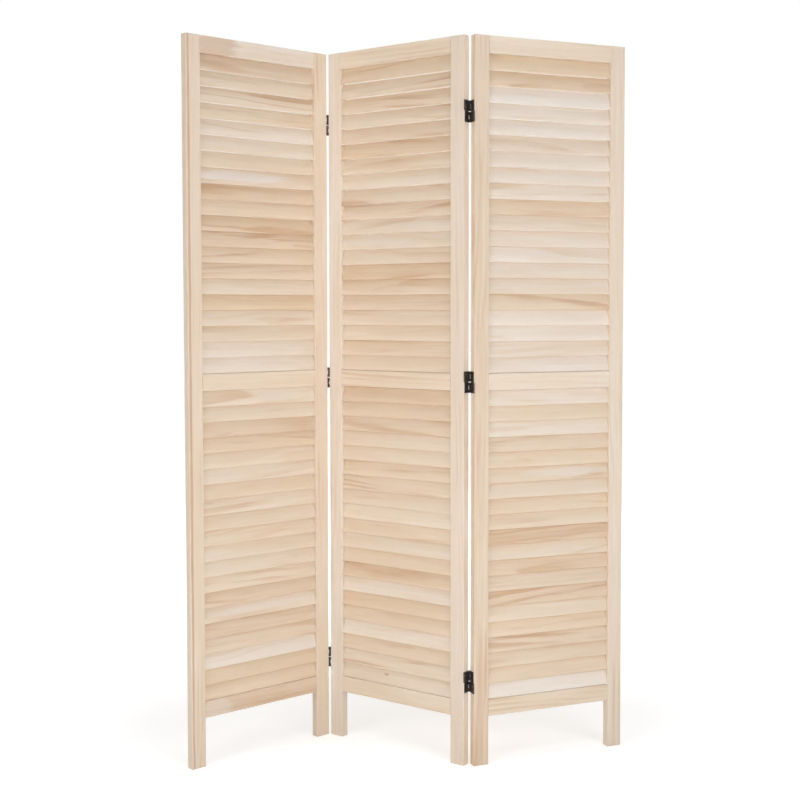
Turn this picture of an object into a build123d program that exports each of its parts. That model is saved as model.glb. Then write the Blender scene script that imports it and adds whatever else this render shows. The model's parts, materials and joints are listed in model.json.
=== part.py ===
from build123d import *
import os
from math import cos, radians, sin

os.makedirs("parts", exist_ok=True)

# Panels, in millimetres
panel_height = 1700
panel_width = 400
panel_thickness = 20
stile_width = 38
rail_height = 39
foot_height = 115
middle_rail_base = 883.5
edge_break = 1

# Rail joints: a stub tenon on each end of a rail, in a mortise that is a little deeper
tenon_length = 20
tenon_height = 26
tenon_thickness = 7
mortise_slack = 0.5

# Louvre slats, seated in slanted housings cut into the stiles
slats_per_section = 20
slat_width = 38
slat_thickness = 5
slat_tilt = 15.5
slat_edge = 0.8
slat_seat = 6
slat_slack = 0.25

# How far each panel is turned from the line of the screen, in degrees
left_turn = 40.3
middle_turn = -35.9
right_turn = 22.4

# Two-way hinges in the gaps between the panels
panel_gap = 4
hinge_heights = {"top": 1527, "centre": 903, "bottom": 198}
hinge_height = 50
half_gap = 2
sheet = 1
pin_radius = 1
pin_clearance = 0.05
pin_end = 0.4
pin_proud = 1
knuckle_gap = 0.25
middle_knuckle = 8.5
leaf_half_width = 8

# Countersunk screws through the leaves into the edges of the stiles, with heads as deep as the sheet
screw_radius = 1.25
screw_length = 14
screw_heights = (-19, -6, 6, 19)
screw_offset = 3.5

# Sizes that follow from these
inner_width = panel_width - 2 * stile_width
screw_head_radius = screw_radius + sheet
barrel_radius = pin_radius + sheet
pin_line = panel_thickness / 2 + pin_proud
joint_line = panel_width / 2 + panel_gap / 2
half_height = (hinge_height - half_gap) / 2
outer_knuckle = (half_height - middle_knuckle) / 2 - knuckle_gap
top_rail_base = panel_height - rail_height
rail_bases = {"top": top_rail_base, "middle": middle_rail_base, "bottom": foot_height}
slat_sections = {
    "upper": (middle_rail_base + rail_height, top_rail_base),
    "lower": (foot_height + rail_height, middle_rail_base),
}

# Edges of each panel that carry hinges: -1 is its left edge, 1 its right edge
hinged_edges = {"left": (1,), "middle": (-1, 1), "right": (-1,)}


def upright_plane(turn, origin=(0, 0, 0)):
    """Plane with X along a panel, Y through its thickness to the back, and Z up."""
    return Plane(origin=origin, x_dir=(cos(radians(turn)), sin(radians(turn)), 0), z_dir=(0, 0, 1))


def folded_plane(turn, pivot, fold_point):
    """Panel plane at this turn, with the panel's own point pivot on fold_point."""
    turned = upright_plane(turn)
    return upright_plane(turn, fold_point - turned.from_local_coords(Vector(*pivot)))


def screen_planes(middle_origin):
    """Planes of the panels: the left one is folded about its front pins, the right about its back pins."""
    middle = upright_plane(middle_turn, middle_origin)
    left_fold = middle.from_local_coords(Vector(-joint_line, -pin_line, 0))
    right_fold = middle.from_local_coords(Vector(joint_line, pin_line, 0))
    left = folded_plane(left_turn, (joint_line, -pin_line, 0), left_fold)
    right = folded_plane(right_turn, (-joint_line, pin_line, 0), right_fold)
    return {"left": left, "middle": middle, "right": right}, left_fold, right_fold


def plan_centre():
    """Centre of the plan's box when the middle panel stands on the origin."""
    planes = screen_planes((0, 0, 0))[0]
    with BuildSketch() as plan:
        with Locations(*planes.values()):
            Rectangle(panel_width, panel_thickness)
        chamfer(plan.vertices(), length=edge_break)
        for name, edges in hinged_edges.items():
            for edge in edges:
                with Locations(planes[name]):
                    with Locations((edge * joint_line, -pin_line), (edge * joint_line, pin_line)):
                        Circle(barrel_radius)
    return plan.sketch.bounding_box().center()


# The origin is on the floor under the middle of the plan of the folded screen
centre = plan_centre()
panels, left_fold_point, right_fold_point = screen_planes((-centre.X, -centre.Y, 0))


def edge_plane(panel, edge, distance, height=0):
    """Plane across a panel: X through its thickness, Y up, Z along the panel away from its middle.

    distance is how far the plane stands from the panel's middle, on the side that edge names."""
    origin = panel.from_local_coords(Vector(edge * distance, 0, height))
    return Plane(origin=origin, x_dir=panel.y_dir * edge, z_dir=panel.x_dir * edge)


def slat_heights(section):
    """Heights of the slats' middles in one section, from just below the rail above it."""
    base, top = slat_sections[section]
    rise = slat_width * cos(radians(slat_tilt)) + slat_thickness * sin(radians(slat_tilt))
    first = base + slat_slack + rise / 2
    last = top - slat_slack - rise / 2
    pitch = (last - first) / (slats_per_section - 1)
    return [first + pitch * number for number in range(slats_per_section)]


def screw_places(panel, edge, height, distance):
    """Planes of one leaf's screws, with Z out of the wood, at this distance from the panel's middle.

    They stand one above the other, in turn to either side of the leaf's middle line."""
    surface = edge_plane(panel, edge, distance, height)
    offset = screw_offset
    places = []
    for rise in screw_heights:
        offset = -offset
        places.append(Plane(surface.location * Pos(offset, rise, 0)))
    return places


def make_stile(panel, edge, has_hinges):
    """Upright of a panel, running down into a foot, with mortises and slanted slat housings."""
    inner_face = panel_width / 2 - stile_width
    with BuildPart() as stile:
        with BuildSketch(panel):
            with Locations((edge * (inner_face + stile_width / 2), 0)):
                Rectangle(stile_width, panel_thickness)
        extrude(amount=panel_height)
        chamfer(stile.edges(), length=edge_break)

        with BuildSketch(edge_plane(panel, edge, inner_face)):
            with Locations(*[(0, base + rail_height / 2) for base in rail_bases.values()]):
                Rectangle(tenon_thickness, tenon_height)
        extrude(amount=tenon_length + mortise_slack, mode=Mode.SUBTRACT)

        with BuildSketch(edge_plane(panel, edge, inner_face)):
            for section in slat_sections:
                with Locations(*[(0, height) for height in slat_heights(section)]):
                    Rectangle(slat_thickness, slat_width, rotation=-edge * slat_tilt)
        extrude(amount=slat_seat, mode=Mode.SUBTRACT)

        if has_hinges:
            for height in hinge_heights.values():
                with Locations(*screw_places(panel, edge, height, panel_width / 2)):
                    Hole(radius=screw_radius, depth=screw_length - sheet)
    return stile.part


def make_rail(panel, base):
    """Cross rail between the stiles, with a stub tenon on each end."""
    end_plane = edge_plane(panel, -1, inner_width / 2, base + rail_height / 2)
    tenon_plane = edge_plane(panel, -1, inner_width / 2 + tenon_length, base + rail_height / 2)
    with BuildPart() as rail:
        with BuildSketch(end_plane):
            Rectangle(panel_thickness, rail_height)
        extrude(amount=-inner_width)
        chamfer(rail.edges().filter_by(Axis((0, 0, 0), panel.x_dir)), length=edge_break)
        with BuildSketch(tenon_plane):
            Rectangle(tenon_thickness, tenon_height)
        extrude(amount=-(inner_width + 2 * tenon_length))
    return rail.part


def make_slats(panel, section):
    """All the slats of one section: thin boards whose front edges are low and back edges high."""
    with BuildPart() as slats:
        with BuildSketch(edge_plane(panel, 1, inner_width / 2 + slat_seat)) as profile:
            with Locations(*[(0, height) for height in slat_heights(section)]):
                Rectangle(slat_thickness, slat_width, rotation=-slat_tilt)
            chamfer(profile.vertices(), length=slat_edge)
        extrude(amount=-(inner_width + 2 * slat_seat))
    return slats.part


def gap_plane(panel, edge, height, flipped=False):
    """Level plane in the middle of the gap beside a panel's edge, at the middle of a hinge."""
    origin = panel.from_local_coords(Vector(edge * joint_line, 0, height))
    return Plane(origin=origin, x_dir=panel.x_dir * (-1 if flipped else 1), z_dir=(0, 0, 1))


def make_leaf(panel, edge, height):
    """Leaf screwed to a stile's edge, curled round one pin above its middle and the other below.

    Seen from the left panel, the upper half turns on the front pin and the lower half on the back
    pin. The leaf of the right panel is the same piece turned half round."""
    plane = gap_plane(panel, edge, height, flipped=edge < 0)
    plate_middle = -panel_gap / 2 + sheet / 2
    with BuildPart() as leaf:
        with BuildSketch(plane.offset(-hinge_height / 2)):
            with Locations((plate_middle, 0)):
                Rectangle(sheet, 2 * leaf_half_width)
        extrude(amount=hinge_height)
        for half in (-1, 1):
            pin_y = -half * pin_line
            neck = pin_line - leaf_half_width
            for start in (half_gap / 2, hinge_height / 2 - outer_knuckle):
                level = start if half > 0 else -start - outer_knuckle
                with BuildSketch(plane.offset(level)):
                    with Locations((0, pin_y)):
                        Circle(barrel_radius)
                    with Locations((plate_middle, pin_y + half * neck / 2)):
                        Rectangle(sheet, neck)
                    with Locations((0, pin_y)):
                        Circle(pin_radius, mode=Mode.SUBTRACT)
                extrude(amount=outer_knuckle)
        with Locations(*screw_places(panel, edge, height, panel_width / 2 + sheet)):
            CounterSinkHole(
                radius=screw_radius,
                counter_sink_radius=screw_head_radius,
                depth=2 * sheet,
                counter_sink_angle=90,
            )
    return leaf.part


def make_link(panel, edge, height, half):
    """Link between the front and back pins: half is 1 for the upper link and -1 for the lower."""
    plane = gap_plane(panel, edge, height)
    middle = half * (half_gap + half_height) / 2
    with BuildPart() as link:
        with BuildSketch(plane.offset(middle - half_height / 2)):
            Rectangle(sheet, 2 * leaf_half_width)
        extrude(amount=half_height)
        with BuildSketch(plane.offset(middle - middle_knuckle / 2)):
            Rectangle(sheet, 2 * pin_line)
            with Locations((0, -pin_line), (0, pin_line)):
                Circle(barrel_radius)
            with Locations((0, -pin_line), (0, pin_line)):
                Circle(pin_radius + pin_clearance, mode=Mode.SUBTRACT)
        extrude(amount=middle_knuckle)
    return link.part


def make_pins(panel, edge):
    """Pins held in the leaves on one edge of a panel: two to a hinge, one above the other."""
    with BuildPart() as pins:
        for height in hinge_heights.values():
            plane = gap_plane(panel, edge, height, flipped=edge < 0)
            for half in (-1, 1):
                middle = plane.offset(half * (half_gap + half_height) / 2)
                with Locations(middle.location * Pos(0, -half * pin_line, 0)):
                    Cylinder(pin_radius, half_height + 2 * pin_end)
    return pins.part


def make_screws(panel, edge):
    """Countersunk screws of the three leaves on one edge of a panel, flush with the leaves."""
    hanging = (Align.CENTER, Align.CENTER, Align.MAX)
    with BuildPart() as screws:
        for height in hinge_heights.values():
            places = screw_places(panel, edge, height, panel_width / 2 + sheet)
            with Locations(*places):
                Cone(screw_radius, screw_head_radius, sheet, align=hanging)
            with Locations(*[place.offset(-sheet) for place in places]):
                Cylinder(screw_radius, screw_length - sheet, align=hanging)
    return screws.part


def save(part, name):
    """Label a finished piece and write its own STEP file."""
    part.label = name
    export_step(part, f"parts/{name}.step")


# Frames and slats of the three panels
for name, panel in panels.items():
    for side, edge in {"left": -1, "right": 1}.items():
        save(make_stile(panel, edge, edge in hinged_edges[name]), f"{name}_panel_{side}_stile")
    for level, base in rail_bases.items():
        save(make_rail(panel, base), f"{name}_panel_{level}_rail")
    for section in slat_sections:
        save(make_slats(panel, section), f"{name}_panel_{section}_slats")

# Hinges of the two joints. The middle panel keeps the upper links, and the outer panel, which
# folds about the pins on the closing side, takes the lower links with it.
for name, middle_edge in {"left": -1, "right": 1}.items():
    outer = panels[name]
    middle = panels["middle"]
    for level, height in hinge_heights.items():
        hinge = f"{name}_hinge_{level}"
        save(make_leaf(outer, -middle_edge, height), f"{hinge}_outer_leaf")
        save(make_leaf(middle, middle_edge, height), f"{hinge}_middle_leaf")
        save(make_link(middle, middle_edge, height, 1), f"{hinge}_upper_link")
        save(make_link(outer, -middle_edge, height, -1), f"{hinge}_lower_link")
    save(make_pins(outer, -middle_edge), f"{name}_hinge_outer_pins")
    save(make_pins(middle, middle_edge), f"{name}_hinge_middle_pins")
    save(make_screws(outer, -middle_edge), f"{name}_hinge_outer_screws")
    save(make_screws(middle, middle_edge), f"{name}_hinge_middle_screws")

for name, point in {"left": left_fold_point, "right": right_fold_point}.items():
    print(f"{name} panel folds about the upright line x={point.X:.4f} y={point.Y:.4f}")
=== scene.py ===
import json
from math import atan2, cos, pi, radians, sin

import bpy
import numpy as np
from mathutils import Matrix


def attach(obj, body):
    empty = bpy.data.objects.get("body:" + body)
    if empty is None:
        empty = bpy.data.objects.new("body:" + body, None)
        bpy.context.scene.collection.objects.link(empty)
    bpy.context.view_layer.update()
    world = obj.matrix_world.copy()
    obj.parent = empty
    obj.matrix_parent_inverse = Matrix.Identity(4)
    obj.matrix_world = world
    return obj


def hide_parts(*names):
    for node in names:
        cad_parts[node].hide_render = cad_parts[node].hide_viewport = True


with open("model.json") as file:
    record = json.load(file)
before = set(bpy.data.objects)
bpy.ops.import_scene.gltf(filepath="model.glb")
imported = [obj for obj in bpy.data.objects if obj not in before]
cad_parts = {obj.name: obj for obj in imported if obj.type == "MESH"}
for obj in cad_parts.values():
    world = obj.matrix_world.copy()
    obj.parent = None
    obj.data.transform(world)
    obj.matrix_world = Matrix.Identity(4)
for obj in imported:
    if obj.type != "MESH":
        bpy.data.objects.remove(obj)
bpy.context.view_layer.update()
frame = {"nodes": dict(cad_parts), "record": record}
mm = 0.001
dice = np.random.default_rng(41)
print("frame loaded:", len(frame["nodes"]), "nodes")


# small helpers for node trees

def feed(tree, socket, value):
    if isinstance(value, bpy.types.NodeSocket):
        tree.links.new(value, socket)
    else:
        socket.default_value = value


def addNode(tree, kind, settings=None, inputs=None):
    made = tree.nodes.new(kind)
    for key, value in (settings or {}).items():
        setattr(made, key, value)
    for key, value in (inputs or {}).items():
        feed(tree, made.inputs[key], value)
    return made


def maths(tree, operation, *values, clamp=False):
    inputs = dict(enumerate(values))
    return addNode(tree, "ShaderNodeMath", {"operation": operation, "use_clamp": clamp}, inputs).outputs[0]


def vectors(tree, operation, *values):
    return addNode(tree, "ShaderNodeVectorMath", {"operation": operation}, dict(enumerate(values))).outputs


def blendColours(tree, share, first, second):
    inputs = {0: share, 6: first, 7: second}
    return addNode(tree, "ShaderNodeMix", {"data_type": "RGBA"}, inputs).outputs[2]


def smoothStep(tree, value, low, high, start=0.0, end=1.0):
    settings = {"interpolation_type": "SMOOTHSTEP"}
    inputs = {"Value": value, "From Min": low, "From Max": high, "To Min": start, "To Max": end}
    return addNode(tree, "ShaderNodeMapRange", settings, inputs).outputs["Result"]


def noise(tree, place, stretch, detail=2.0, rough=0.5, distortion=0.0):
    # smooth noise whose cells are as many to the metre as stretch says, along each axis
    spread = vectors(tree, "MULTIPLY", place, stretch)[0]
    inputs = {"Vector": spread, "Scale": 1.0, "Detail": detail, "Roughness": rough,
              "Distortion": distortion}
    return addNode(tree, "ShaderNodeTexNoise", {"noise_dimensions": "3D"}, inputs).outputs["Fac"]


def opaque(colour):
    return (*colour, 1.0)


# wood: growth rings round a heart line, fibres, pores, clouds, streaks and patches

woodFinish = {
    "pale": (0.84, 0.735, 0.625),
    "middle": (0.775, 0.625, 0.475),
    "tan": (0.64, 0.44, 0.285),
    "streak": (0.50, 0.285, 0.165),
    "palePatch": (0.82, 0.735, 0.665),
    "tanPatch": (0.60, 0.40, 0.27),
    "endGrain": (0.58, 0.42, 0.29),
    "ringWidth": 0.0125,
    "ringUnevenness": 70,  # changes of the ring width to the metre
    "taper": 0.030,        # how fast the rings drift across a board, per metre of its length
    "wander": 0.016,       # how far the grain sways, in metres
    "ringDepth": 0.62,
    "cloudDepth": 0.80,
    "veinDepth": 0.42,
    "fibreDepth": 0.22,
    "toneDepth": 0.36,
    "roughness": 0.58,
    "bump": 0.35,
    "bumpHeight": 0.0004,
    "gloss": 0.5,
}

# cells of each pattern to the metre: along, across and through a board
grainScale = {
    "sway": (2.6, 11, 11),
    "ripple": (9, 45, 45),
    "ringsShown": (3.5, 20, 20),
    "fibre": (16, 620, 620),
    "vein": (4.5, 190, 190),
    "pore": (110, 1700, 1700),
    "cloud": (3.4, 30, 30),
    "tint": (2.1, 9, 9),
    "streak": (2.6, 70, 70),
    "patchRim": (9, 75, 75),
}


def makeWoodGroup(w, scale):
    # place: metres along, across and through a board, measured from its tree's heart line
    # look: tone (pale is positive), warmth (yellow positive, greyish pink negative), streaks
    # patch: along and across a patch in its own half sizes, and its strength (pale positive)
    tree = bpy.data.node_groups.new("screenWood", "ShaderNodeTree")
    for name in ("place", "look", "patch"):
        tree.interface.new_socket(name, in_out="INPUT", socket_type="NodeSocketVector")
    tree.interface.new_socket("colour", in_out="OUTPUT", socket_type="NodeSocketColor")
    tree.interface.new_socket("roughness", in_out="OUTPUT", socket_type="NodeSocketFloat")
    tree.interface.new_socket("height", in_out="OUTPUT", socket_type="NodeSocketFloat")
    given = tree.nodes.new("NodeGroupInput").outputs
    place = given["place"]
    look = addNode(tree, "ShaderNodeSeparateXYZ", inputs={0: given["look"]}).outputs
    patch = addNode(tree, "ShaderNodeSeparateXYZ", inputs={0: given["patch"]}).outputs

    # distance from the heart line, swayed by two scales of noise and drifting along the board
    sway = noise(tree, place, scale["sway"])
    sway = maths(tree, "MULTIPLY_ADD", sway, 2 * w["wander"], -w["wander"])
    ripple = maths(tree, "MULTIPLY_ADD", noise(tree, place, scale["ripple"]), 0.3 * w["wander"], 0.0)
    axis = addNode(tree, "ShaderNodeSeparateXYZ", inputs={0: place}).outputs
    across = maths(tree, "ADD", axis[1], sway)
    distance = maths(tree, "SQRT", maths(tree, "ADD", maths(tree, "MULTIPLY", across, across),
                                         maths(tree, "MULTIPLY", axis[2], axis[2])))
    distance = maths(tree, "MULTIPLY_ADD", axis[0], w["taper"], distance)
    distance = maths(tree, "ADD", distance, ripple)
    inputs = {"W": maths(tree, "MULTIPLY", distance, w["ringUnevenness"]), "Scale": 1.0, "Detail": 1.0}
    uneven = addNode(tree, "ShaderNodeTexNoise", {"noise_dimensions": "1D"}, inputs).outputs["Fac"]
    ring = maths(tree, "FRACT", maths(tree, "MULTIPLY_ADD", distance, 1 / w["ringWidth"], uneven))
    darkens = smoothStep(tree, ring, 0.35, 0.9)
    late = maths(tree, "MULTIPLY", darkens, smoothStep(tree, ring, 0.91, 1.0, 1.0, 0.0))
    shown = smoothStep(tree, noise(tree, place, scale["ringsShown"], 1.0), 0.44, 0.70, 0.08, 1.0)
    late = maths(tree, "MULTIPLY", late, shown)

    fibre = noise(tree, place, scale["fibre"], 3.0, 0.6)
    vein = noise(tree, place, scale["vein"], 3.0, 0.55, 0.4)
    pore = smoothStep(tree, noise(tree, place, scale["pore"], 1.0), 0.64, 0.74)
    cloud = noise(tree, place, scale["cloud"], 4.0, 0.6, 0.5)
    tint = noise(tree, place, scale["tint"], 2.0)

    # how dark the wood is: 0 pale, 1 tan
    depth = maths(tree, "MULTIPLY_ADD", look[0], -w["toneDepth"], 0.20)
    figure = maths(tree, "MULTIPLY_ADD", look[2], 1.3, 0.45)
    depth = maths(tree, "MULTIPLY_ADD", maths(tree, "MULTIPLY", late, figure), w["ringDepth"], depth)
    depth = maths(tree, "MULTIPLY_ADD", maths(tree, "SUBTRACT", cloud, 0.42), w["cloudDepth"], depth)
    depth = maths(tree, "MULTIPLY_ADD", maths(tree, "SUBTRACT", vein, 0.5), w["veinDepth"], depth)
    depth = maths(tree, "MULTIPLY_ADD", maths(tree, "SUBTRACT", fibre, 0.5), w["fibreDepth"], depth)
    light = blendColours(tree, smoothStep(tree, depth, -0.15, 0.45), opaque(w["pale"]), opaque(w["middle"]))
    colour = blendColours(tree, smoothStep(tree, depth, 0.35, 1.1), light, opaque(w["tan"]))

    # warmth turns the colour to yellow or to a greyish pink
    warm = maths(tree, "ADD", look[1], maths(tree, "MULTIPLY_ADD", tint, 1.0, -0.5))
    turn = addNode(tree, "ShaderNodeCombineXYZ", inputs={
        0: 1.0,
        1: maths(tree, "MULTIPLY_ADD", warm, -0.028, 1.0),
        2: maths(tree, "MULTIPLY_ADD", warm, -0.085, 1.0)}).outputs[0]
    colour = vectors(tree, "MULTIPLY", colour, turn)[0]

    # long brown streaks, as many as look asks for
    streak = smoothStep(tree, noise(tree, place, scale["streak"], 5.0, 0.66, 0.5), 0.56, 0.70)
    streak = maths(tree, "MULTIPLY", streak, look[2], clamp=True)
    colour = blendColours(tree, maths(tree, "MULTIPLY", streak, 0.6), colour, opaque(w["streak"]))

    # one soft-edged patch, paler or darker than the board
    ragged = noise(tree, place, scale["patchRim"], 4.0, 0.6, 0.6)
    reach = vectors(tree, "LENGTH", vectors(tree, "MULTIPLY", given["patch"], (1, 1, 0))[0])[1]
    inside = smoothStep(tree, maths(tree, "MULTIPLY_ADD", ragged, 1.3, reach), 1.75, 1.25)
    share = maths(tree, "MULTIPLY", inside, maths(tree, "ABSOLUTE", patch[2]), clamp=True)
    kind = maths(tree, "GREATER_THAN", patch[2], 0.0)
    spot = blendColours(tree, kind, opaque(w["tanPatch"]), opaque(w["palePatch"]))
    colour = blendColours(tree, share, colour, spot)

    colour = blendColours(tree, maths(tree, "MULTIPLY", pore, 0.22), colour, opaque(w["streak"]))
    rough = maths(tree, "MULTIPLY_ADD", fibre, 0.16, w["roughness"] - 0.08)
    rough = maths(tree, "MULTIPLY_ADD", late, -0.08, rough)
    height = maths(tree, "MULTIPLY_ADD", late, 0.35, maths(tree, "MULTIPLY", fibre, 0.8))
    height = maths(tree, "MULTIPLY_ADD", pore, -0.7, height)
    result = tree.nodes.new("NodeGroupOutput").inputs
    feed(tree, result["colour"], colour)
    feed(tree, result["roughness"], rough)
    feed(tree, result["height"], height)
    return tree


woodGroup = makeWoodGroup(woodFinish, grainScale)


def newMaterial(name):
    material = bpy.data.materials.new(name)
    material.use_nodes = True
    tree = material.node_tree
    shader = next(n for n in tree.nodes if n.type == "BSDF_PRINCIPLED")
    return material, tree, shader


def finishWood(tree, shader, place, look, patch, endGrain=None):
    grain = addNode(tree, "ShaderNodeGroup", {"node_tree": woodGroup},
                    {"place": place, "look": look, "patch": patch}).outputs
    colour = grain["colour"]
    if endGrain is not None:
        colour = blendColours(tree, endGrain, colour, opaque(woodFinish["endGrain"]))
    feed(tree, shader.inputs["Base Color"], colour)
    feed(tree, shader.inputs["Roughness"], grain["roughness"])
    bump = addNode(tree, "ShaderNodeBump", inputs={"Strength": woodFinish["bump"],
                   "Distance": woodFinish["bumpHeight"], "Height": grain["height"]})
    feed(tree, shader.inputs["Normal"], bump.outputs[0])
    shader.inputs["Specular IOR Level"].default_value = woodFinish["gloss"]


# where each panel stands, from the feet in the record

mounts = {m["name"]: np.array(m["pos_m"]) for m in frame["record"]["mounts"]}
panels = {}
for name in ("left", "middle", "right"):
    leftFoot = mounts[f"{name}_panel_left_foot"]
    rightFoot = mounts[f"{name}_panel_right_foot"]
    way = rightFoot - leftFoot
    panels[name] = {"origin": (leftFoot + rightFoot) / 2, "turn": atan2(way[1], way[0])}


def fromPanel(panel, points):
    # points given along, through and up a panel, turned about the upright and moved to its place
    c, s = cos(panel["turn"]), sin(panel["turn"])
    turned = points @ np.array([[c, s, 0], [-s, c, 0], [0, 0, 1]])
    return turned + panel["origin"]


# surfaces from loops of points

def loopsToMesh(name, loops):
    # loops: bodies x stations x points round each loop. Neighbouring stations are joined by
    # four-sided faces, and the first and last loop of each body are closed by one face
    bodies, stations, around, _ = loops.shape
    index = np.arange(bodies * stations * around).reshape(bodies, stations, around)
    ahead = np.roll(index, -1, axis=2)
    quads = np.stack([index[:, :-1], ahead[:, :-1], ahead[:, 1:], index[:, 1:]], axis=-1).reshape(-1, 4)
    caps = np.concatenate([index[:, 0, ::-1], index[:, -1]])
    mesh = bpy.data.meshes.new(name)
    mesh.from_pydata(loops.reshape(-1, 3).tolist(), [], quads.tolist() + caps.tolist())
    mesh.update()
    mesh.shade_smooth()
    mesh.set_sharp_from_angle(angle=radians(50))
    piece = bpy.data.objects.new(name, mesh)
    bpy.context.scene.collection.objects.link(piece)
    return piece


def keepVectors(mesh, name, values):
    layer = mesh.attributes.new(name, "FLOAT_VECTOR", "POINT")
    layer.data.foreach_set("vector", np.ascontiguousarray(values, np.float32).ravel())


# slats: 20 above and 20 below the middle rail of each panel

slat = {
    "perSection": 20,
    "width": 38 * mm,
    "thickness": 5 * mm,
    "tilt": radians(15.5),
    "halfLength": 168 * mm,
    "slack": 0.25 * mm,
    "edgeRadius": 1.3 * mm,
    "bow": 0.35 * mm,
    "cup": 0.25 * mm,
    "twist": 0.45 * mm,
    "stations": 5,
    "edgeHighlight": 0.7,       # painted highlight: how much paler the sawn long edges are made than the faces, in place of the light from the floor on them
    # how far to either side of a slat's middle, and how far under it, its tree's heart line may run
    "heartAcross": 0.05,
    "heartBelow": (0.02, 0.11),
}
slatSections = {"upper": (922.5 * mm, 1661 * mm), "lower": (154 * mm, 883.5 * mm)}

treeLength = 9    # how far along the grain, to either side, a board may lie, in metres

# the usual look of a panel's slats in each section: tone, warmth, streaks
usualLooks = {
    "left_upper": (0.26, 0.00, 0.22),
    "left_lower": (0.04, 0.05, 0.25),
    "middle_upper": (-0.08, 0.10, 0.30),
    "middle_lower": (-0.16, 0.00, 0.22),
    "right_upper": (0.46, -0.60, 0.08),
    "right_lower": (-0.40, -0.10, 0.22),
}
# how far a slat's look strays from the usual one
lookSpread = (0.30, 0.28, 0.20)

# boards that stand out, counted from the top of their section: tone, warmth, streaks
notableSlats = {
    "left_upper": {1: (-1.1, -0.5, 0.1), 2: (0.15, 0.1, 0.2), 3: (0.1, -0.2, 0.5), 8: (-0.1, 0.1, 0.1),
                   9: (-0.9, 0.3, 0.4), 10: (0.15, 0.8, 0.1), 11: (-0.8, 0.2, 0.8), 12: (-0.6, 0.2, 0.7),
                   16: (-0.7, 0.9, 0.2)},
    "left_lower": {4: (-0.5, 0.4, 0.4), 14: (-0.7, 0.1, 0.9), 15: (0.5, 0.0, 0.2), 16: (-0.8, 0.0, 0.6),
                   18: (0.7, -0.7, 0.0), 20: (-0.1, 0.9, 0.1)},
    "middle_upper": {1: (-0.6, 0.3, 0.1), 3: (-0.5, 0.3, 0.3), 5: (-0.4, 0.0, 0.6), 6: (-0.9, 0.7, 0.6),
                     9: (-0.4, -0.4, 0.9), 10: (-0.3, 0.0, 0.8), 14: (-0.9, 0.5, 0.5)},
    "middle_lower": {13: (-0.9, 0.4, 0.4), 14: (0.5, -0.5, 0.1), 16: (-0.4, 0.4, 0.3), 17: (0.6, -0.2, 0.1),
                     19: (0.0, -0.5, 0.9), 20: (-0.3, -0.8, 1.0)},
    # on the right panel's upper section, slats 1 and 2 are darkened as painted shade
    "right_upper": {1: (-0.6, 0.9, 0.1), 2: (-0.8, 0.5, 0.1), 3: (1.1, -1.0, 0.0), 4: (0.5, -0.7, 0.2),
                    5: (0.8, -0.8, 0.0), 6: (0.0, -0.5, 0.5), 10: (-0.5, 0.4, 0.1), 16: (-0.5, 0.0, 0.5)},
    "right_lower": {1: (0.4, -0.6, 0.1), 3: (0.4, -0.6, 0.1), 10: (-1.1, 0.2, 0.5), 14: (-0.9, 0.1, 0.6),
                    20: (0.9, -1.0, 0.0)},
}

# patches and knots: middle along and across the board, half sizes along and across, all in
# millimetres, and strength (above 0 pale, below 0 dark). noPatch lies far off every board
noPatch = (9000, 0, 1, 1, 0)
slatPatches = {
    "left_upper": {8: (-38, 1, 150, 17, 0.95), 17: (60, -4, 90, 7, -0.3)},
    "left_lower": {15: (10, 0, 190, 9, 0.6)},
    "middle_upper": {12: (-60, 0, 130, 13, 0.5)},
    "middle_lower": {20: (-31, 5, 8, 3.5, -0.9)},
    "right_upper": {2: (135, -6, 60, 15, -0.4), 8: (20, 0, 150, 12, 0.6), 13: (-70, 3, 100, 12, 0.5)},
    "right_lower": {6: (60, 0, 130, 12, 0.6)},
}


def slatSurface(bow, cup, twist):
    # a rectangle with rounded corners carried along the slat. Between the ends the section moves
    # out by the bow, bends by the cup and turns by the twist, each times 1 - t squared,
    # where t runs from -1 to 1 along the slat
    r = slat["edgeRadius"]
    turn = np.array([0, 45, 90]) * pi / 180
    corners = [(1, 1), (-1, 1), (-1, -1), (1, -1)]
    through, across = [], []
    for quarter, (sx, sy) in enumerate(corners):
        angle = turn + quarter * pi / 2
        through.append(sx * (slat["thickness"] / 2 - r) + r * np.cos(angle))
        across.append(sy * (slat["width"] / 2 - r) + r * np.sin(angle))
    through, across = np.concatenate(through), np.concatenate(across)
    t = np.linspace(-1, 1, slat["stations"])[:, None]
    lift = 1 - t ** 2
    high = across / (slat["width"] / 2)
    out = through + lift * (bow + cup * (1 - high ** 2) + twist * high)
    along = t * slat["halfLength"] + 0 * out
    return along, out, across + 0 * out


def slatHeights(section):
    base, top = slatSections[section]
    rise = slat["width"] * cos(slat["tilt"]) + slat["thickness"] * sin(slat["tilt"])
    return np.linspace(top - slat["slack"] - rise / 2, base + slat["slack"] + rise / 2, slat["perSection"])


def slatMaterial():
    material, tree, shader = newMaterial("slatWood")
    read = [addNode(tree, "ShaderNodeAttribute", {"attribute_name": key}).outputs["Vector"]
            for key in ("grainPlace", "boardLook", "patchPlace")]
    finishWood(tree, shader, *read)
    return material


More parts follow.
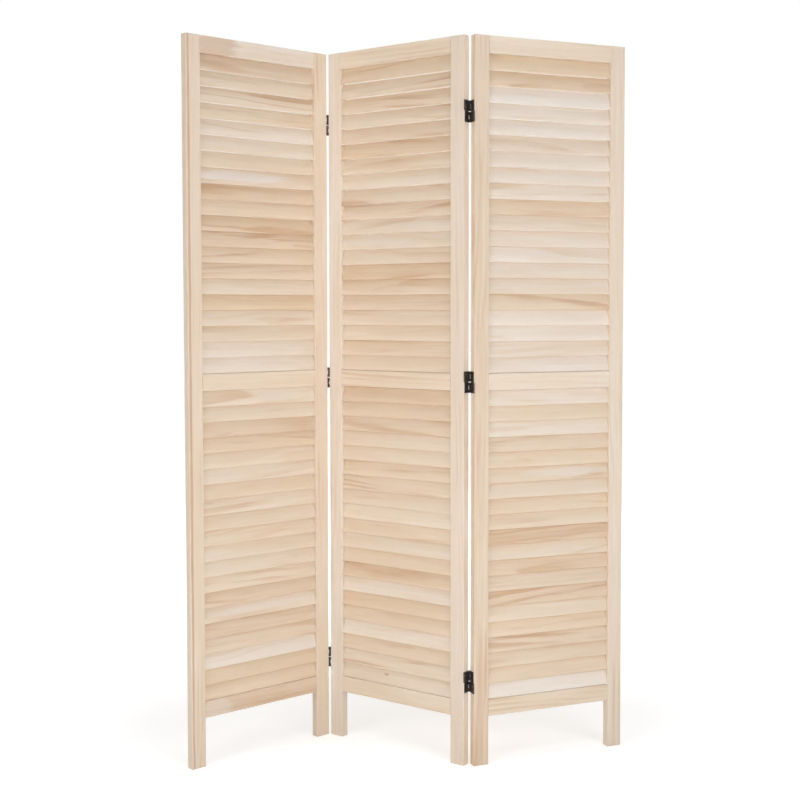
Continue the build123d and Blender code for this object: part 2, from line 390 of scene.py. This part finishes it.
slatWood = slatMaterial()
for panelName, panel in panels.items():
    for section in slatSections:
        group = f"{panelName}_{section}"
        for number, height in enumerate(slatHeights(section), 1):
            name = f"{group}_slat_{number:02d}"
            bow, cup, twist = dice.uniform(-1, 1, 3) * (slat["bow"], slat["cup"], slat["twist"])
            along, out, across = slatSurface(bow, cup, twist)
            c, s = cos(slat["tilt"]), sin(slat["tilt"])
            points = np.stack([along, out * c + across * s, across * c - out * s + height], axis=-1)
            piece = loopsToMesh(name, fromPanel(panel, points)[None])
            chance = dice.normal(0, 1, 3) * lookSpread
            look = np.array(notableSlats[group].get(number, usualLooks[group] + chance))
            heart = [dice.uniform(-treeLength, treeLength),
                     dice.uniform(-slat["heartAcross"], slat["heartAcross"]),
                     dice.uniform(*slat["heartBelow"])]
            flip = dice.choice([-1, 1], 2)
            grain = np.stack([along * flip[0], across * flip[1], out], axis=-1) + heart
            lengthwise, crosswise, halfLong, halfWide, strength = slatPatches[group].get(number, noPatch)
            patch = np.stack([(along / mm - lengthwise) / halfLong, (across / mm - crosswise) / halfWide,
                              strength + 0 * out], axis=-1)
            keepVectors(piece.data, "grainPlace", grain.reshape(-1, 3))
            looks = np.broadcast_to(look, grain.shape).copy()
            # painted highlight: the long edges of each slat get a paler tone, standing in for the light
            # from below on them
            looks[..., 0] += slat["edgeHighlight"] * (np.abs(across) > slat["width"] / 2 - 0.1 * mm)
            keepVectors(piece.data, "boardLook", looks.reshape(-1, 3))
            keepVectors(piece.data, "patchPlace", patch.reshape(-1, 3))
            piece.data.materials.append(slatWood)
            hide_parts(f"{panelName}_panel_{section}_slats")
            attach(piece, f"{panelName}_panel")
print("slats made")


# frames: stiles with upright grain, rails with grain along them

def dress(node, material):
    for place in frame["nodes"][node].material_slots:
        place.material = material


frameLooks = {
    "left_panel_left_stile": (-0.20, -0.60, 0.10),
    "left_panel_right_stile": (-0.25, -0.45, 0.10),
    "middle_panel_left_stile": (0.15, -1.15, 0.08),
    "middle_panel_right_stile": (-0.10, -1.10, 0.08),
    "right_panel_left_stile": (-0.85, -0.75, 0.30),
    "right_panel_right_stile": (-0.10, -0.80, 0.08),
    "left_panel_top_rail": (0.45, -0.60, 0.15),
    "left_panel_middle_rail": (0.10, 0.10, 0.10),
    "left_panel_bottom_rail": (-1.10, 0.10, 0.90),
    "middle_panel_top_rail": (0.05, 0.10, 0.10),
    "middle_panel_middle_rail": (-0.05, 0.10, 0.15),
    "middle_panel_bottom_rail": (0.00, 0.10, 0.20),
    "right_panel_top_rail": (0.15, 0.05, 0.10),
    "right_panel_middle_rail": (0.25, -0.40, 0.10),
    "right_panel_bottom_rail": (-0.35, -0.20, 0.30),
}

frameFinish = {
    "railMiddles": {"top": 1680.5 * mm, "middle": 903 * mm, "bottom": 134.5 * mm},
    "railEdge": (18.2 * mm, 19.0 * mm),    # from a rail's middle, where its sawn edge begins
    "railEdgeHighlight": 1.1,                   # and how much paler it is painted than the front, a painted highlight for the light falling on it
    "endGrainShare": 0.7,
    "endGrainTurn": (0.55, 0.9),           # how far a face looks up or down before end grain shows
    "heartAcross": 0.06,                   # the tree's heart line, as for the slats
    "heartBelow": (0.03, 0.12),
}

# patches as for the slats, but measured from the floor and from the panel's middle
framePatches = {
    "left_panel_top_rail": (-118, 1680, 66, 40, -0.55),
    "left_panel_bottom_rail": (-130, 134, 48, 40, 0.40),
    "left_panel_left_stile": (850, -194.5, 1300, 3.6, -0.9),
    "right_panel_left_stile": (110, -186, 150, 9, -0.35),
}


def frameMaterial(node, panel, look):
    material, tree, shader = newMaterial(node + "_wood")
    where = addNode(tree, "ShaderNodeTexCoord").outputs
    inputs = {"Vector": where["Object"], "Location": tuple(panel["origin"]),
              "Rotation": (0, 0, panel["turn"])}
    local = addNode(tree, "ShaderNodeMapping", {"vector_type": "TEXTURE"}, inputs).outputs[0]
    upright = node.endswith("stile")
    axis = addNode(tree, "ShaderNodeSeparateXYZ", inputs={0: local}).outputs
    order = (2, 0, 1) if upright else (0, 2, 1)
    turned = dict(enumerate(axis[source] for source in order))
    board = addNode(tree, "ShaderNodeCombineXYZ", inputs=turned).outputs[0]
    heart = (dice.uniform(-treeLength, treeLength),
             dice.uniform(-frameFinish["heartAcross"], frameFinish["heartAcross"]),
             dice.uniform(*frameFinish["heartBelow"]))
    place = vectors(tree, "ADD", board, heart)[0]
    endGrain = None
    tone = look[0]
    if upright:
        facing = addNode(tree, "ShaderNodeSeparateXYZ", inputs={0: where["Normal"]}).outputs[2]
        endGrain = smoothStep(tree, maths(tree, "ABSOLUTE", facing), *frameFinish["endGrainTurn"],
                              0.0, frameFinish["endGrainShare"])
    else:
        # painted highlight: a rail's top and bottom faces get a paler tone, in place of the light on them
        middle = frameFinish["railMiddles"][node.split("_")[2]]
        offMiddle = maths(tree, "ABSOLUTE", maths(tree, "SUBTRACT", axis[2], middle))
        tone = smoothStep(tree, offMiddle, *frameFinish["railEdge"],
                          tone, tone + frameFinish["railEdgeHighlight"])
    lengthwise, crosswise, halfLong, halfWide, strength = framePatches.get(node, noPatch)
    patch = vectors(tree, "MULTIPLY_ADD", board, (1 / (halfLong * mm), 1 / (halfWide * mm), 0),
                    (-lengthwise / halfLong, -crosswise / halfWide, strength))[0]
    boardLook = addNode(tree, "ShaderNodeCombineXYZ", inputs={0: tone, 1: look[1], 2: look[2]}).outputs[0]
    finishWood(tree, shader, place, boardLook, patch, endGrain)
    return material


for node, look in frameLooks.items():
    panel = panels[node.split("_")[0]]
    dress(node, frameMaterial(node, panel, look))
print("frames dressed")


# hinges

metalFinish = {
    "hinge": {"dark": (0.026, 0.019, 0.016), "worn": (0.20, 0.155, 0.125), "metallic": 0.6, "rough": 0.38},
    "pin": {"dark": (0.026, 0.019, 0.016), "worn": (0.20, 0.155, 0.125), "metallic": 0.7, "rough": 0.32},
    "screw": {"dark": (0.026, 0.019, 0.016), "worn": (0.30, 0.27, 0.24), "metallic": 0.7, "rough": 0.34},
}
metalScale = {"blotch": (420, 420, 260), "grit": (3200, 3200, 3200)}


def metalMaterial(kind):
    finish = metalFinish[kind]
    material, tree, shader = newMaterial(kind + "Bronze")
    place = addNode(tree, "ShaderNodeTexCoord").outputs["Object"]
    blotch = noise(tree, place, metalScale["blotch"], 4.0, 0.6)
    grit = noise(tree, place, metalScale["grit"], 2.0, 0.5)
    share = smoothStep(tree, maths(tree, "MULTIPLY_ADD", grit, 0.5, blotch), 0.72, 0.92)
    colour = blendColours(tree, share, opaque(finish["dark"]), opaque(finish["worn"]))
    feed(tree, shader.inputs["Base Color"], colour)
    feed(tree, shader.inputs["Roughness"], maths(tree, "MULTIPLY_ADD", grit, 0.22, finish["rough"]))
    bump = addNode(tree, "ShaderNodeBump", inputs={"Strength": 0.3, "Distance": 0.0001, "Height": grit})
    feed(tree, shader.inputs["Normal"], bump.outputs[0])
    shader.inputs["Metallic"].default_value = finish["metallic"]
    return material


hingeMetal = metalMaterial("hinge")
pinMetal = metalMaterial("pin")
screwMetal = metalMaterial("screw")
for node in frame["nodes"]:
    if node.endswith(("leaf", "link")):
        dress(node, hingeMetal)

# the hinges' screws and pins, in millimetres
hinge = {
    "heights": (198, 903, 1527),
    "screwRises": (-19, -6, 6, 19),
    "screwOffset": 3.5,
    "screwReach": 201,       # from the panel's middle to the outside of the leaf
    "screwAround": 24,
    "recessHalfWidth": 0.34,
    "recessReach": 1.5,
    "recessDepth": 0.6,
    "pinReach": 202,
    "pinLine": 11,
    "pinRise": 13,
    "pinAround": 16,
}
# radius and height of each station: head, countersink, thread and point
screwHead = [(0.05, 0), (0.4, 0), (0.8, 0), (1.15, 0), (1.45, 0), (1.75, 0), (2.1, 0), (2.24, -0.08)]
screwThread = [(1.2 - 0.28 * (k % 2), -1.6 - 0.8 * k) for k in range(13)]
screwProfile = np.array(screwHead + [(1.24, -1.05)] + screwThread + [(0.7, -12.6), (0.1, -13.8)])
pinProfile = np.array([(0.2, 12.4), (0.7, 12.32), (0.93, 12.12), (0.995, 11.8), (0.995, 4), (0.995, -4),
                       (0.995, -11.8), (0.93, -12.12), (0.7, -12.32), (0.2, -12.4)])


def screwSurface():
    # the profile turned about the screw's axis, with two crossed grooves in the head: the depth
    # falls off past the groove's half width to each side and past its reach
    angle = -2 * pi * np.arange(hinge["screwAround"]) / hinge["screwAround"]
    radius, height = screwProfile[:, :1], screwProfile[:, 1:]
    x, y = radius * np.cos(angle), radius * np.sin(angle)
    beside = np.minimum(np.abs(x), np.abs(y))
    groove = np.clip((hinge["recessHalfWidth"] - beside) / 0.2 + 1, 0, 1)
    groove = groove * np.clip((hinge["recessReach"] - radius) / 0.3, 0, 1)
    return x, y, height - hinge["recessDepth"] * groove * (height == 0)


def pinSurface():
    # the profile turned about the pin's axis
    angle = -2 * pi * np.arange(hinge["pinAround"]) / hinge["pinAround"]
    radius, height = pinProfile[:, :1], pinProfile[:, 1:]
    return radius * np.cos(angle), radius * np.sin(angle), height + 0 * angle


def makeHardware(joint, which, panelName, edge):
    # the screws and pins of three hinges on one edge of a panel; edge is -1 on its left
    x, y, z = screwSurface()
    screws = [np.stack([edge * (hinge["screwReach"] + z), edge * (side * hinge["screwOffset"] + x),
                        level + rise + y], axis=-1)
              for level in hinge["heights"]
              for rise, side in zip(hinge["screwRises"], (-1, 1, -1, 1))]
    u, v, w = pinSurface()
    pins = [np.stack([edge * hinge["pinReach"] + u, -half * edge * hinge["pinLine"] + v,
                      level + half * hinge["pinRise"] + w], axis=-1)
            for level in hinge["heights"] for half in (-1, 1)]
    for kind, loops, metal in (("screws", screws, screwMetal), ("pins", pins, pinMetal)):
        placed = fromPanel(panels[panelName], mm * np.array(loops))
        piece = loopsToMesh(f"{joint}_{which}_hinge_{kind}", placed)
        piece.data.materials.append(metal)
        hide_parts(f"{joint}_hinge_{which}_{kind}")
        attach(piece, f"{panelName}_panel")


makeHardware("left", "outer", "left", 1)
makeHardware("left", "middle", "middle", -1)
makeHardware("right", "outer", "right", -1)
makeHardware("right", "middle", "middle", 1)
print("hinges dressed")


# floor, light and camera

floorSize = 60.0
corner = floorSize / 2
floorMesh = bpy.data.meshes.new("floor")
corners = [(-corner, -corner, 0), (corner, -corner, 0), (corner, corner, 0), (-corner, corner, 0)]
floorMesh.from_pydata(corners, [], [(0, 1, 2, 3)])
floor = bpy.data.objects.new("floor", floorMesh)
bpy.context.scene.collection.objects.link(floor)

studio = {
    "floorColour": (0.86, 0.86, 0.86),
    "nearGlow": 0.335,      # the floor's glow by the object, for the rays that seenShare picks
    "farGlow": 0.80,        # and far from it
    "glowFrom": 0.5,
    "glowTo": 1.7,
    "worldLight": 0.27,
}


def seenShare(tree):
    # 1 for rays from the camera, off gloss and through glass, and 0 for the rays that light things
    path = addNode(tree, "ShaderNodeLightPath").outputs
    share = maths(tree, "MAXIMUM", path["Is Camera Ray"], path["Is Glossy Ray"])
    return maths(tree, "MAXIMUM", share, path["Is Transmission Ray"])


def floorMaterial():
    material, tree, shader = newMaterial("floorPaper")
    feed(tree, shader.inputs["Base Color"], opaque(studio["floorColour"]))
    shader.inputs["Roughness"].default_value = 0.9
    shader.inputs["Specular IOR Level"].default_value = 0.0
    shader.inputs["Emission Color"].default_value = (1, 1, 1, 1)
    where = addNode(tree, "ShaderNodeTexCoord").outputs["Object"]
    away = vectors(tree, "LENGTH", where)[1]
    glow = smoothStep(tree, away, studio["glowFrom"], studio["glowTo"],
                      studio["nearGlow"], studio["farGlow"])
    feed(tree, shader.inputs["Emission Strength"], maths(tree, "MULTIPLY", seenShare(tree), glow))
    return material


floorMesh.materials.append(floorMaterial())

world = bpy.data.worlds.new("studio")
bpy.context.scene.world = world
world.use_nodes = True
tree = world.node_tree
tree.nodes.clear()
white = (1, 1, 1, 1)
lit = addNode(tree, "ShaderNodeBackground", inputs={"Color": white, "Strength": studio["worldLight"]})
seen = addNode(tree, "ShaderNodeBackground", inputs={"Color": white, "Strength": 1.0})
layers = {0: seenShare(tree), 1: lit.outputs[0], 2: seen.outputs[0]}
both = addNode(tree, "ShaderNodeMixShader", inputs=layers).outputs[0]
feed(tree, addNode(tree, "ShaderNodeOutputWorld").inputs["Surface"], both)

# place, point aimed at and size in metres, power in watts and spread in degrees. The one over
# the floor is narrow: it mostly lights the floor, which lights the slats from below
screenMiddle = (0, 0, 0.85)
softboxes = {
    "frontLeft": ((-2.5, -2.9, 1.6), screenMiddle, (2.4, 1.5), 40, 180),
    "frontRight": ((2.2, -3.1, 1.6), screenMiddle, (2.4, 1.5), 45, 180),
    "backLeft": ((-2.4, 3.0, 1.2), screenMiddle, (2.4, 1.5), 46, 180),
    "backRight": ((2.4, 3.0, 1.2), screenMiddle, (2.4, 1.5), 46, 180),
    "above": ((0, -0.4, 4.3), (0, -0.4, 0), (2.2, 1.2), 28, 180),
    "overFloor": ((0, -1.9, 2.6), (0, -1.9, 0), (2.6, 1.0), 30, 75),
}
for name, (place, target, size, power, spread) in softboxes.items():
    lamp = bpy.data.lights.new(name, "AREA")
    lamp.shape = "RECTANGLE"
    lamp.size, lamp.size_y = size
    lamp.energy = power
    lamp.spread = radians(spread)
    lampObject = bpy.data.objects.new(name, lamp)
    lampObject.location = place
    aim = np.array(target) - np.array(place)
    flat = np.hypot(aim[0], aim[1])
    lampObject.rotation_euler = (atan2(flat, -aim[2]), 0, atan2(-aim[0], aim[1]))
    bpy.context.scene.collection.objects.link(lampObject)

camera = {
    "place": (-21.83 * mm, -3121.54 * mm, 1069.23 * mm),
    "lens": 58.514,
    "lookDown": 2.877,
    "lean": -0.089,
    "shiftUp": -0.03,
}
lens = bpy.data.cameras.new("camera")
lens.lens = camera["lens"]
lens.sensor_width = 36
lens.shift_y = camera["shiftUp"]
lens.clip_start = 0.1
lens.clip_end = 200
eye = bpy.data.objects.new("camera", lens)
eye.location = camera["place"]
eye.rotation_mode = "ZXY"
eye.rotation_euler = (radians(90 - camera["lookDown"]), 0, radians(camera["lean"]))
bpy.context.scene.collection.objects.link(eye)
bpy.context.scene.camera = eye

view = bpy.context.scene.view_settings
view.view_transform = "Standard"
print("stage set")
